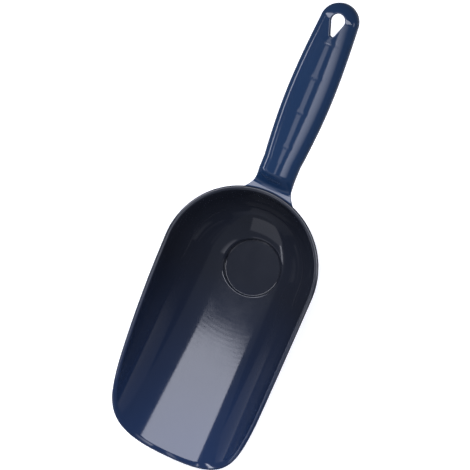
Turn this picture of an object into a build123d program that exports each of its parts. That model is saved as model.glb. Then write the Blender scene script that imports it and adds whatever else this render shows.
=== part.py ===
from build123d import *
from math import acos, asin, atan2, cos, degrees, hypot, pi, radians, sin, sqrt, tan
import os

# Feed scoop: a deep trough-shaped bowl with a round foot, and a hollow crowned handle.
# Millimetres, +Z up. The origin is the centre of the foot's flat face. +X runs to the
# handle, and the lip is on the -X side. The back of the bowl is round about the Z axis.
# The front is the same cross-section swung forward on a long arc, so its floor rises.
# The real thing is one moulding. Its nodes are the moulding's features, face to face.

# Bowl cross-section, outer face
WALL = 2.2              # wall of bowl and floor
BOWL_HALF = 50.5        # half-width, and back radius, at the height RIM_Z
DRAFT = 7.2             # lean of the wall, degrees
FLOOR_R = 76.0          # arc of the floor, side to side
CORNER_Q = 4.0          # centre of the arc between floor and wall, from the middle
BELLY_Z = 1.4           # lowest line of the floor, at the foot
FLOOR_BEND_R = 800.0    # long arc on which the floor rises towards the lip

# Rim line, seen from the side: level, a long bend, then a bend down to the lip
RIM_Z = 57.7            # height above the foot's centre
RIM_FALL = 2.6          # slope of the level stretch, degrees
RIM_LEVEL = 10.0        # level stretch in front of the foot's centre
RIM_BEND_R = 324.0      # long bend
RIM_BEND_END = 19.7     # slope where the long bend ends, degrees
LIP_REACH = 133.6       # from the foot's centre to the lip's lower edge
BEAD_OUT = 0.7          # how far the rim's bead stands out
BEAD_DEEP = 3.0         # height of the bead, square to the rim line

# Foot: a round cup sunk through the floor
FOOT_R = 18.3           # inside radius
FOOT_WALL = 2.0
FOOT_FLOOR = 2.0
FOOT_EDGE_R = 0.8       # rounding of the foot's outer edge
FOOT_INNER_R = 0.6      # rounding inside, at its floor

# Handle, in its own frame: u along it from the waist, h up from its crest
RISE = 7.0              # slope of the handle, degrees
WAIST_HALF = 11.8       # half-width at the waist
GRIP_HALF = 14.45       # half-width of the swell
GRIP_U = 46.0           # where the swell is
END_R = 12.1            # radius of the round end, and half-width before it
END_U = 94.9            # centre of the round end
SHELL_DEEP = 12.0       # crest to lower edge
CROWN_DEEP = 6.5        # height of the crown's curve
SHELL_WALL = 2.5

# Neck, from the waist down to the bowl's back
NECK_STEPS = 10
NECK_LONG = 18.8        # from the bowl's back to the waist
NECK_RISE = 10.55       # from the bowl's back up to the crest at the waist
NECK_LEVEL = 2.2        # level stretch of its crest beside the bowl
NECK_DROP = 10.0        # stretch over which the crest comes down to it
NECK_FLARE_R = 17.0     # arc, seen from above, from the waist out to the rim
NECK_FLARE_TURN = 68.0  # how far that arc turns, degrees
NECK_SINK = 1.2         # how far the arc is set into the bowl
NECK_FOOT_HALF = 11.2   # half-width of its lower edge at the bowl
NECK_UNDER_RIM = 1.6    # its top below the rim
NECK_DEEP = 8.5         # its depth at the bowl
NECK_CROWN = 1.0        # crown of its curve at the bowl

# Hang hole, a teardrop with its round end outward
HOLE_END_GAP = 6.75     # from the handle's tip to the hole
HOLE_LONG = 15.05
HOLE_R = 4.55           # round end
HOLE_TIP_R = 1.6        # narrow end
EYE_WALL = 1.8
EYE_DEEP = 4.6          # from the crest to the wall's lower edge

# Ribs under the crown
RIB_T = 1.6
RIB_PITCH = 23.4
RIB_COUNT = 4
RIB_FROM_END = 25.4     # handle's tip to the first cross rib, where the spine ends
RIB_SHORT = 1.5         # cross ribs stop this far above the lower edge
SPINE_SHORT = 3.0       # and the spine this far

SPARE = 20.0            # how far tool bodies run past what they cut

LEAN = tan(radians(DRAFT))
LEVEL = tan(radians(RIM_FALL))
BACK_R = BOWL_HALF + BEAD_OUT
BACK_Z = RIM_Z + BACK_R * LEVEL
WAIST_X = BACK_R + NECK_LONG
WAIST_Z = BACK_Z + NECK_RISE
FOOT_OUT = FOOT_R + FOOT_WALL
TIP_U = END_U + END_R
EYE_ROUND_U = TIP_U - HOLE_END_GAP - HOLE_R
EYE_TIP_U = TIP_U - HOLE_END_GAP - HOLE_LONG + HOLE_TIP_R
BOWL_TOP = RIM_Z + SPARE
LIP_Z = BELLY_Z + FLOOR_BEND_R - sqrt(FLOOR_BEND_R**2 - LIP_REACH**2)


def arc(centre, radius, first, last):
    """Arc in a sketch, from angle first to angle last in degrees."""
    points = []
    for angle in (first, (first + last) / 2, last):
        a = radians(angle)
        points.append((centre[0] + radius * cos(a), centre[1] + radius * sin(a)))
    return ThreePointArc(*points)


def corner_arc():
    """Radius and centre height of the arc tangent to the floor arc and to the leaning wall."""
    top = BELLY_Z + FLOOR_R
    k = cos(radians(DRAFT))
    n = sin(radians(DRAFT))
    # The radius is reach + n * z for a centre at height z
    reach = k * (BOWL_HALF - RIM_Z * LEAN - CORNER_Q)
    rest = FLOOR_R - reach
    b = top - n * rest
    z = (b - sqrt(b**2 - k**2 * (CORNER_Q**2 + top**2 - rest**2))) / k**2
    return reach + n * z, z


def bowl_form(grow):
    """Solid of the bowl's cross-section, moved out by grow: round back, rising front."""
    corner_r, corner_z = corner_arc()
    top = BELLY_Z + FLOOR_R
    turn = degrees(atan2(corner_z - top, CORNER_Q))
    wall_q = BOWL_HALF + (BOWL_TOP - RIM_Z) * LEAN + grow / cos(radians(DRAFT))

    corner = arc((CORNER_Q, corner_z), corner_r + grow, turn, -DRAFT)
    wall = Line(corner @ 1, (wall_q, BOWL_TOP))
    floor = arc((0, top), FLOOR_R + grow, -90, turn)
    half = [floor, corner, wall, Line((wall_q, BOWL_TOP), (0, BOWL_TOP))]
    axis_line = Line((0, BOWL_TOP), (0, BELLY_Z - grow))

    mirrored = [edge.mirror(Plane.YZ) for edge in half]
    swing_axis = Axis((0, 0, BELLY_Z + FLOOR_BEND_R), (0, 1, 0))
    swing = degrees(asin((LIP_REACH + SPARE) / FLOOR_BEND_R))
    front = revolve(Plane.YZ * make_face(half + mirrored), swing_axis, swing)
    back = revolve(Plane.YZ * mirror(make_face(half + [axis_line]), Plane.YZ), Axis.Z, 180)
    return front + back


def rim_region(drop):
    """Everything below the rim line, moved down square to it by drop."""
    fall = radians(RIM_FALL)
    bend = radians(RIM_BEND_END)
    start = (-RIM_LEVEL, RIM_Z - RIM_LEVEL * LEVEL)
    join = (
        start[0] - RIM_BEND_R * (sin(bend) - sin(fall)),
        start[1] - RIM_BEND_R * (cos(fall) - cos(bend)),
    )
    # The second bend is tangent to the first and ends at the lip's lower edge
    chord = atan2(join[1] - LIP_Z, join[0] + LIP_REACH)
    end = 2 * chord - bend
    nose_r = hypot(join[1] - LIP_Z, join[0] + LIP_REACH) / (2 * sin((end - bend) / 2))

    long_centre = (start[0] + RIM_BEND_R * sin(fall), start[1] - RIM_BEND_R * cos(fall))
    nose_centre = (join[0] + nose_r * sin(bend), join[1] - nose_r * cos(bend))
    long_bend = arc(long_centre, RIM_BEND_R - drop, 90 + RIM_FALL, 90 + RIM_BEND_END)
    nose = arc(nose_centre, nose_r - drop, 90 + RIM_BEND_END, 90 + degrees(end))

    back_x = BOWL_HALF + SPARE
    first = long_bend @ 0
    behind = (back_x, first.Y + (back_x - first.X) * LEVEL)
    last = nose @ 1
    under = (last.X - (last.Y + SPARE) * cos(end) / sin(end), -SPARE)
    edges = [
        Line(behind, first),
        long_bend,
        nose,
        Polyline(last, under, (back_x, under[1]), behind),
    ]
    return extrude(Plane.XZ * make_face(edges), amount=BOWL_HALF + SPARE, both=True)


def make_bowl_shell(form, cavity, below_bead):
    """Wall and floor of the bowl, up to the bead and round the foot."""
    foot_bore = Cylinder(FOOT_OUT, 2 * SPARE)
    return (form & below_bead) - cavity - foot_bore


def make_rim_bead(cavity, below_rim, below_bead):
    """Thickened band along the whole rim, lip included."""
    return (bowl_form(BEAD_OUT) & below_rim) - below_bead - cavity


def make_foot_cup(cavity):
    """Flat disc to stand on, with a low wall up to the bowl's floor."""
    low = (Align.CENTER, Align.CENTER, Align.MIN)
    body = Cylinder(FOOT_OUT, SPARE, align=low)
    body = fillet(body.edges().sort_by(Axis.Z)[0], FOOT_EDGE_R)
    recess = Pos(0, 0, FOOT_FLOOR) * Cylinder(FOOT_R, SPARE, align=low)
    recess = fillet(recess.edges().sort_by(Axis.Z)[0], FOOT_INNER_R)
    return body - cavity - recess


def crown_section(half, foot_half, deep, crown, inset, extra):
    """Arch: half an ellipse on two straight sides, moved in by inset, sides longer by extra."""
    crown *= 1 - inset / CROWN_DEEP
    spring = -inset - crown
    foot = -deep - extra
    half -= inset
    foot_half -= inset
    return make_face(
        [
            EllipticalCenterArc((0, spring), half, crown, start_angle=0, arc_size=180),
            Polyline((-half, spring), (-foot_half, foot), (foot_half, foot), (half, spring)),
        ]
    )


def handle_half(u):
    """Half-width of the handle: a quarter sine up to the swell, a quarter cosine after it."""
    if u < GRIP_U:
        return WAIST_HALF + (GRIP_HALF - WAIST_HALF) * sin(pi / 2 * u / GRIP_U)
    return END_R + (GRIP_HALF - END_R) * cos(pi / 2 * (u - GRIP_U) / (END_U - GRIP_U))


def handle_form(inset, extra):
    """Solid of the handle, walls moved in by inset and sides longer by extra."""
    steps = [GRIP_U * k / 4 for k in range(5)] + [GRIP_U + (END_U - GRIP_U) * k / 4 for k in (1, 2, 3, 4)]
    sections = []
    for u in steps:
        half = handle_half(u)
        section = crown_section(half, half, SHELL_DEEP, CROWN_DEEP, inset, extra)
        sections.append(Pos(u, 0, 0) * (Plane.YZ * section))
    radius = END_R - inset
    low = -SHELL_DEEP - extra
    half_end = make_face(
        [
            EllipticalCenterArc((0, -CROWN_DEEP), radius, CROWN_DEEP - inset, start_angle=90, arc_size=90),
            Polyline((-radius, -CROWN_DEEP), (-radius, low), (0, low), (0, -inset)),
        ]
    )
    end = Pos(END_U, 0, 0) * revolve(Plane.YZ * half_end, Axis.Z, 180)
    return loft(sections) + end


def teardrop(grow):
    """Prism through the handle, the hang hole's outline moved out by grow."""
    tilt = degrees(acos((HOLE_R - HOLE_TIP_R) / (EYE_ROUND_U - EYE_TIP_U)))
    big = arc((EYE_ROUND_U, 0), HOLE_R + grow, tilt - 180, 180 - tilt)
    small = arc((EYE_TIP_U, 0), HOLE_TIP_R + grow, 180 - tilt, 180 + tilt)
    face = make_face([big, Line(big @ 1, small @ 0), small, Line(small @ 1, big @ 0)])
    return extrude(face, amount=SHELL_DEEP + SPARE, both=True)


def neck_form(inset, extra):
    """Solid of the neck: sections from the bowl's back, rising and narrowing to the waist."""
    flare_x = sqrt((BACK_R + NECK_FLARE_R) ** 2 - (WAIST_HALF + NECK_FLARE_R) ** 2) - NECK_SINK
    root_z = BACK_Z - NECK_UNDER_RIM
    stations = []
    for k in range(NECK_STEPS):
        turn = radians(NECK_FLARE_TURN) * (1 - k / NECK_STEPS)
        stations.append((flare_x - NECK_FLARE_R * sin(turn), WAIST_HALF + NECK_FLARE_R * (1 - cos(turn))))
    for k in range(NECK_STEPS + 1):
        stations.append((flare_x + (WAIST_X - flare_x) * k / NECK_STEPS, WAIST_HALF))

    sections = []
    for x, half in stations:
        f = min(1.0, (WAIST_X - x) / NECK_LONG)
        fallen = 1 - (NECK_LONG * (1 - f) - NECK_LEVEL) / NECK_DROP
        fallen = min(1.0, max(0.0, fallen))
        ease = fallen * fallen * (3 - 2 * fallen)
        foot_half = WAIST_HALF + (NECK_FOOT_HALF - WAIST_HALF) * ease
        deep = SHELL_DEEP + (NECK_DEEP - SHELL_DEEP) * ease
        crown = CROWN_DEEP + (NECK_CROWN - CROWN_DEEP) * ease
        # The crest leaves the waist at the handle's slope, comes down in an S and ends level
        crest_z = WAIST_Z + (root_z - WAIST_Z) * ease - tan(radians(RISE)) * NECK_LONG * f * (1 - ease)
        place = Location((x, 0, crest_z), (0, -RISE * (1 - ease), 0))
        section = crown_section(half, foot_half, deep, crown, inset, extra)
        sections.append(place * (Plane.YZ * section))
    return loft(sections, ruled=True)


def make_parts():
    form = bowl_form(0)
    cavity = bowl_form(-WALL)
    below_rim = rim_region(0)
    below_bead = rim_region(BEAD_DEEP)
    rim_bead = make_rim_bead(cavity, below_rim, below_bead)

    handle_at = Location((WAIST_X, 0, WAIST_Z), (0, -RISE, 0))
    outer = handle_form(0, 0)
    inner = handle_form(SHELL_WALL, SPARE)
    eye_body = teardrop(EYE_WALL)
    eye_slab = Box(4 * TIP_U, 2 * SPARE, 2 * EYE_DEEP)

    channel = inner & outer
    spine_box = Pos(0, 0, SPINE_SHORT - SHELL_DEEP) * Box(
        TIP_U - RIB_FROM_END, RIB_T, SHELL_DEEP, align=(Align.MIN, Align.CENTER, Align.MIN)
    )
    spine = channel & spine_box
    cross = []
    for k in range(RIB_COUNT):
        plate = Pos(TIP_U - RIB_FROM_END - k * RIB_PITCH, 0, RIB_SHORT - SHELL_DEEP) * Box(
            RIB_T, 2 * GRIP_HALF, SHELL_DEEP, align=(Align.CENTER, Align.CENTER, Align.MIN)
        )
        cross += ((channel & plate) - spine_box).solids()
    neck = neck_form(0, 0) - form - neck_form(SHELL_WALL, SPARE) - rim_bead

    return {
        "bowl_shell": make_bowl_shell(form, cavity, below_bead),
        "rim_bead": rim_bead,
        "foot_cup": make_foot_cup(cavity),
        "neck_flare": neck,
        "handle_shell": handle_at * (outer - inner - eye_body),
        "spine_rib": handle_at * spine,
        "cross_ribs": handle_at * Compound(cross),
        "hang_eye": handle_at * ((outer & eye_body & eye_slab) - teardrop(0)),
    }


os.makedirs("parts", exist_ok=True)
for name, shape in make_parts().items():
    export_step(Compound(shape.solids()), f"parts/{name}.step")
    print(name, len(shape.solids()), round(shape.volume, 1))
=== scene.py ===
from math import acos, atan2, cos, hypot, pi, radians, sin, sqrt, tan
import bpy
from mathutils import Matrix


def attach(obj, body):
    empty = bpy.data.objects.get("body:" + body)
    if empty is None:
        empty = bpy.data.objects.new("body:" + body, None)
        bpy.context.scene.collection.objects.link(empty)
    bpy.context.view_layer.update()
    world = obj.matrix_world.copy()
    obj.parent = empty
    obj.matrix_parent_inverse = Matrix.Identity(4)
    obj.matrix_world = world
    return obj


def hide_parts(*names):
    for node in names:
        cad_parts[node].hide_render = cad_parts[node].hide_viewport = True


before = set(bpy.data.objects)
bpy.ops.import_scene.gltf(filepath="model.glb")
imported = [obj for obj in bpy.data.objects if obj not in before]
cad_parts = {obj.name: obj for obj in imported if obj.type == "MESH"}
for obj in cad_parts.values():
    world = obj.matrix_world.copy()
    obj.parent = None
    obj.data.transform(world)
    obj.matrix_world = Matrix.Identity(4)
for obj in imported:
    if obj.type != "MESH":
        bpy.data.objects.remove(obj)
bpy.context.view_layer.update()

from types import SimpleNamespace

import bpy
import numpy as np
from bpy.props import FloatProperty, PointerProperty, StringProperty
from bpy.types import Operator, Panel, PropertyGroup
from mathutils import Matrix, Vector

bl_info = {
    "name": "Feed scoop",
    "version": (1, 0, 0),
    "blender": (4, 5, 0),
    "location": "View3D > Sidebar > Feed scoop",
    "description": "Smooth shells and moulded plastic finishes for a one-piece feed scoop",
    "category": "Add Mesh",
}


# ---- sizes and colours

def length(name, mm, text):
    return FloatProperty(name=name, description=text, default=mm / 1000, unit="LENGTH", precision=5)


def angle(name, degrees, text):
    return FloatProperty(name=name, description=text, default=radians(degrees), unit="ROTATION")


def share(name, value, text):
    return FloatProperty(name=name, description=text, default=value)


def colour(name, value, text):
    return StringProperty(name=name, description=text, default=value)


class FeedScoopSizes(PropertyGroup):
    """Sizes of the scoop. They are the solids' own sizes, and the edges' small roundings."""

    wall: length("Wall", 2.2, "Wall of bowl and floor")
    bowl_half: length("Bowl half-width", 50.5, "Half-width of the bowl at the rim's height")
    draft: angle("Draft", 7.2, "Lean of the bowl's wall")
    floor_r: length("Floor arc", 76.0, "Radius of the floor from side to side")
    corner_q: length("Corner centre", 4.0, "Centre of the arc between floor and wall, from the middle")
    belly_z: length("Belly", 1.4, "Height of the floor's lowest line")
    floor_bend_r: length("Floor rise arc", 800.0, "Radius on which the floor rises to the lip")
    rim_z: length("Rim height", 57.7, "Height of the rim above the foot's centre")
    rim_fall: angle("Rim fall", 2.6, "Slope of the rim's level stretch")
    rim_level: length("Rim level", 10.0, "Straight stretch of rim in front of the foot")
    rim_bend_r: length("Rim bend", 324.0, "Radius of the rim's long bend")
    rim_bend_end: angle("Rim bend end", 19.7, "Slope where the long bend ends")
    lip_reach: length("Lip reach", 133.6, "From the foot's centre to the lip")
    bead_out: length("Bead", 0.7, "How far the rim's bead stands out")
    bead_deep: length("Bead height", 3.0, "Height of the bead")
    rim_edge: length("Rim outer edge", 1.3, "Rounding of the rim's outer top edge")
    rim_inner: length("Rim inner edge", 1.2, "Rounding of the rim's inner top edge")
    lip_across: length("Lip edge, across", 1.3, "Rounding of the lip's inner edge, across the wall")
    lip_down: length("Lip edge, along", 2.8, "Rounding of the lip's inner edge, along the floor")
    foot_r: length("Foot radius", 18.3, "Inside radius of the foot")
    foot_wall: length("Foot wall", 2.0, "Wall of the foot")
    foot_floor: length("Foot floor", 2.0, "Thickness of the foot's floor")
    foot_edge: length("Foot edge", 0.8, "Rounding of the foot's edges")
    foot_lip: share("Foot lip", 0.45, "Rounding of the recess's edge over its depth")
    foot_inner: length("Foot inner edge", 0.6, "Rounding inside the foot, at its floor")
    rise: angle("Handle rise", 7.0, "Slope of the handle")
    waist_half: length("Waist half-width", 11.8, "Half-width where the handle starts")
    grip_half: length("Grip half-width", 14.45, "Half-width of the grip's swell")
    grip_u: length("Grip place", 46.0, "Where the swell is along the handle")
    end_r: length("Handle end", 12.1, "Radius of the handle's round end")
    end_u: length("Handle end place", 94.9, "Centre of the round end along the handle")
    shell_deep: length("Handle depth", 12.0, "Crest to lower edge")
    crown_deep: length("Crown", 6.5, "Height of the crown's curve")
    shell_wall: length("Handle wall", 2.5, "Wall of the handle")
    lower_edge: length("Lower edge", 0.7, "Rounding of the handle's lower edges")
    neck_long: length("Neck length", 18.8, "From the bowl's back to the waist")
    neck_rise: length("Neck rise", 10.55, "From the bowl's back up to the crest at the waist")
    neck_flare_r: length("Neck flare", 17.0, "Arc from the waist out to the rim, seen from above")
    neck_flare_turn: angle("Neck flare turn", 68.0, "How far that arc turns")
    neck_sink: length("Neck sink", 1.2, "How far the arc is set into the bowl")
    neck_foot_half: length("Neck foot", 11.2, "Half-width of the neck's lower edge at the bowl")
    neck_under_rim: length("Neck below rim", 1.6, "The neck's top below the rim")
    neck_deep: length("Neck depth", 8.5, "Depth of the neck at the bowl")
    neck_crown: length("Neck crown", 1.0, "Crown of the neck at the bowl")
    neck_level: length("Neck level", 2.2, "Level stretch of the neck's crest beside the bowl")
    neck_drop: length("Neck drop", 10.0, "Stretch over which the crest comes down to it")
    neck_cove: length("Neck cove", 1.0, "How far the cove against the rim reaches along the neck")
    hole_end_gap: length("Hole gap", 6.75, "From the handle's tip to the hang hole")
    hole_long: length("Hole length", 15.05, "Length of the hang hole")
    hole_r: length("Hole round end", 4.55, "Radius of the hole's round end")
    hole_tip_r: length("Hole narrow end", 1.6, "Radius of the hole's narrow end")
    eye_wall: length("Eye wall", 1.8, "Wall round the hang hole")
    eye_deep: length("Eye depth", 4.6, "From the crest to the lower edge of the eye's wall")
    eye_edge: length("Eye edge", 0.7, "Rounding of the hang hole's edge")
    rib_pitch: length("Rib pitch", 23.4, "Spacing of the ribs under the crown")
    rib_from_end: length("First rib", 25.4, "From the handle's tip to the first rib")
    sink_deep: length("Sink marks", 0.12, "Depth of the shrinkage marks over the ribs")


class FeedScoopColours(PropertyGroup):
    """Colours of the plastic and the stage, as sRGB hex values."""

    # Painted shade: the bowl's two colours are the handle's plastic darkened and greyed, most at the bowl's
    # back, less at the lip
    bowl: colour("Bowl", "#1D2028", "Colour of the bowl's plastic")
    bowl_front: colour("Bowl front", "#162540", "Colour of the bowl's plastic at the lip")
    handle: colour("Handle", "#172C48", "Colour of the handle's plastic")
    floor: colour("Floor", "#F4F4F5", "Colour of the floor")


def linear(text):
    """Linear RGBA of an sRGB hex colour."""
    parts = np.array([int(text[k:k + 2], 16) for k in (1, 3, 5)]) / 255
    flat = np.where(parts <= 0.04045, parts / 12.92, ((parts + 0.055) / 1.055) ** 2.4)
    return (*flat.tolist(), 1.0)


def figure():
    """All sizes in metres and radians, and those that follow from them."""
    group = bpy.context.scene.feed_scoop_sizes
    s = SimpleNamespace(**{name: getattr(group, name) for name in FeedScoopSizes.__annotations__})
    s.lean, s.level = tan(s.draft), tan(s.rim_fall)
    s.back_r = s.bowl_half + s.bead_out
    s.back_z = s.rim_z + s.back_r * s.level
    s.waist_x, s.waist_z = s.back_r + s.neck_long, s.back_z + s.neck_rise
    s.foot_out = s.foot_r + s.foot_wall
    s.tip_u = s.end_u + s.end_r
    s.eye_round_u = s.tip_u - s.hole_end_gap - s.hole_r
    s.eye_tip_u = s.tip_u - s.hole_end_gap - s.hole_long + s.hole_tip_r
    s.eye_tilt = acos((s.hole_r - s.hole_tip_r) / (s.eye_round_u - s.eye_tip_u))
    # Arc tangent to the floor arc and to the leaning wall: its radius is reach + n * height
    s.top = s.belly_z + s.floor_r
    k, n = cos(s.draft), sin(s.draft)
    reach = k * (s.bowl_half - s.rim_z * s.lean - s.corner_q)
    rest = s.floor_r - reach
    b = s.top - n * rest
    s.corner_z = (b - sqrt(b * b - k * k * (s.corner_q**2 + s.top**2 - rest**2))) / k**2
    s.corner_r = reach + n * s.corner_z
    s.turn = atan2(s.corner_z - s.top, s.corner_q)
    # Rim line seen from the side: straight, long bend, nose bend
    s.axis_z = s.belly_z + s.floor_bend_r
    lip_z = s.axis_z - sqrt(s.floor_bend_r**2 - s.lip_reach**2)
    x0, z0 = -s.rim_level, s.rim_z - s.rim_level * s.level
    s.long_x, s.long_z = x0 + s.rim_bend_r * sin(s.rim_fall), z0 - s.rim_bend_r * cos(s.rim_fall)
    join_x = s.long_x - s.rim_bend_r * sin(s.rim_bend_end)
    join_z = s.long_z + s.rim_bend_r * cos(s.rim_bend_end)
    nose_end = 2 * atan2(join_z - lip_z, join_x + s.lip_reach) - s.rim_bend_end
    s.nose_r = hypot(join_z - lip_z, join_x + s.lip_reach) / (2 * sin((nose_end - s.rim_bend_end) / 2))
    s.nose_x = join_x + s.nose_r * sin(s.rim_bend_end)
    s.nose_z = join_z - s.nose_r * cos(s.rim_bend_end)
    s.straight = s.rim_level / cos(s.rim_fall)
    s.bend = s.rim_bend_r * (s.rim_bend_end - s.rim_fall)
    return s


# ---- mesh helpers

TINY = 1e-12  # keeps a division by a length of zero from failing
WELD = 2e-7   # grid on which points count as one, in metres


def unit(v):
    return v / np.maximum(np.linalg.norm(v, axis=-1, keepdims=True), TINY)


def pick(first, second, a, b, c):
    """a where the first condition holds, b where only the second does, c elsewhere."""
    return np.where(first, a, np.where(second, b, c))


def level_way(heading):
    """Level unit vectors at a heading."""
    return np.stack([np.cos(heading), np.sin(heading), 0 * heading], -1)


def closed_slopes(p):
    """Normals of a grid of points: the cross product of its two differences. The second direction
    closes on itself, and its last row repeats the first."""
    around = np.concatenate([p[:, -2:-1], p, p[:, 1:2]], axis=1)
    return unit(np.cross(np.gradient(p, axis=0), np.gradient(around, axis=1)[:, 1:-1]))


def build(name, sheets, nodes, slot):
    """One closed mesh from sheets. Each sheet is a grid of points and a grid of outward normals.
    Points that coincide are welded, and each face corner keeps its sheet's own normal, so a
    smooth surface stays smooth up to a crisp edge."""
    points, normals, quads, start = [], [], [], 0
    for p, n in sheets:
        rows, cols = p.shape[:2]
        at = start + np.arange(rows * cols).reshape(rows, cols)
        quad = np.stack([at[:-1, :-1], at[1:, :-1], at[1:, 1:], at[:-1, 1:]], -1).reshape(-1, 4)
        flat_p, flat_n = p.reshape(-1, 3), unit(n.reshape(-1, 3))
        local = quad - start
        a, b, c, d = (flat_p[local[:, k]] for k in range(4))
        facing = np.einsum("ij,ij->i", np.cross(c - a, d - b), flat_n[local].sum(axis=1))
        if facing.sum() < 0:
            quad = quad[:, ::-1]
        points.append(flat_p)
        normals.append(flat_n)
        quads.append(quad)
        start += rows * cols
    points, normals, quads = np.concatenate(points), np.concatenate(normals), np.concatenate(quads)
    keys = np.round(points / WELD).astype(np.int64)
    _, first, welded = np.unique(keys, axis=0, return_index=True, return_inverse=True)
    welded = welded.reshape(-1)
    corners = welded[quads]
    # A quad with two neighbouring corners welded is a triangle at a pole. Any flatter one is dropped
    same = corners == np.roll(corners, -1, axis=1)
    folded = (corners[:, :2] == corners[:, 2:]).any(axis=1)
    keep = ~((same.sum(axis=1) > 1) | folded)
    corners, quads, same = corners[keep], quads[keep], same[keep]
    use = ~same
    sizes = use.sum(axis=1)
    loop_vertices = corners[use]
    loop_normals = normals[quads[use]]
    mesh = bpy.data.meshes.new(name)
    mesh.vertices.add(len(first))
    mesh.vertices.foreach_set("co", points[first].astype(np.float32).ravel())
    mesh.loops.add(len(loop_vertices))
    mesh.loops.foreach_set("vertex_index", loop_vertices.astype(np.int32))
    mesh.polygons.add(len(sizes))
    mesh.polygons.foreach_set("loop_start", (np.cumsum(sizes) - sizes).astype(np.int32))
    mesh.polygons.foreach_set("use_smooth", np.ones(len(sizes), bool))
    mesh.update(calc_edges=True)
    mesh.validate()
    mesh.normals_split_custom_set(loop_normals.tolist())
    mesh.materials.append(finish_for(slot))
    piece = bpy.data.objects.new(name, mesh)
    bpy.context.scene.collection.objects.link(piece)
    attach(piece, "root")
    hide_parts(*nodes)
    return piece


# ---- the bowl's surfaces

RAYS = 150      # steps along each side of the rim, from the lip to the foot's centre line
BACK_RAYS = 96  # steps round the back
FINE = 3000     # steps in which the rim line is measured


def section_at_height(s, h, g):
    """Half-width and outward angle of the bowl's section at height h, moved out by g.
    Floor arc, then corner arc, then leaning wall."""
    f, c = s.floor_r + g, s.corner_r + g
    low, high = s.top + f * sin(s.turn), s.corner_z - c * sin(s.draft)
    sunk = np.clip(s.top - h, 0, f)
    rise = np.clip(s.corner_z - h, -c, c)
    q_floor, q_corner = np.sqrt(f * f - sunk * sunk), np.sqrt(c * c - rise * rise)
    q_wall = s.bowl_half + (h - s.rim_z) * s.lean + g / cos(s.draft)
    q = pick(h < low, h < high, q_floor, s.corner_q + q_corner, q_wall)
    return q, pick(h < low, h < high, np.arctan2(-sunk, q_floor), np.arctan2(-rise, q_corner), -s.draft)


def height_at_width(s, q, g):
    """Height and outward angle of the section at half-width q, on the floor and corner arcs."""
    f, c = s.floor_r + g, s.corner_r + g
    over = np.clip(q - s.corner_q, 0, c)
    floor = q < f * cos(s.turn)
    h = np.where(floor, s.top - np.sqrt(f * f - q * q), s.corner_z - np.sqrt(c * c - over * over))
    return h, np.where(floor, np.arctan2(h - s.top, q), np.arctan2(h - s.corner_z, over))


def length_along(s, h, turned, g):
    """Length along the section from the belly, for a point's height and outward angle."""
    f, c = s.floor_r + g, s.corner_r + g
    high = s.corner_z - c * sin(s.draft)
    first, second = f * (s.turn + pi / 2), c * (-s.draft - s.turn)
    on_corner = np.where(h < high, first + c * (turned - s.turn), first + second + (h - high) / cos(s.draft))
    return np.where(turned <= s.turn, f * (turned + pi / 2), on_corner)


def section_at_length(s, t, g):
    """Half-width, height and outward angle of the section at a length t from the belly."""
    f, c = s.floor_r + g, s.corner_r + g
    first, second = f * (s.turn + pi / 2), c * (-s.draft - s.turn)
    turned = np.where(t < first, t / f - pi / 2, np.minimum(s.turn + (t - first) / c, -s.draft))
    past = np.maximum(t - first - second, 0)
    q = np.where(t < first, f * np.cos(turned), s.corner_q + c * np.cos(turned) + past * sin(s.draft))
    h = np.where(t < first, s.top + f * np.sin(turned), s.corner_z + c * np.sin(turned) + past * cos(s.draft))
    return q, h, turned


def swung(s, q, h, turned, theta, side):
    """Section point carried forward: turned by theta about a level axis high above the belly."""
    r = s.axis_z - h
    p = np.stack([-r * np.sin(theta), side * q, s.axis_z - r * np.cos(theta)], -1)
    n = np.stack([np.sin(turned) * np.sin(theta), side * np.cos(turned), np.sin(turned) * np.cos(theta)], -1)
    return p, n


def spun(q, h, turned, psi):
    """Section point carried round the back, turned by psi about the upright axis."""
    p = np.stack([q * np.cos(psi), q * np.sin(psi), h + 0 * psi], -1)
    n = np.stack([np.cos(turned) * np.cos(psi), np.cos(turned) * np.sin(psi), np.sin(turned) + 0 * psi], -1)
    return p, n


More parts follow.
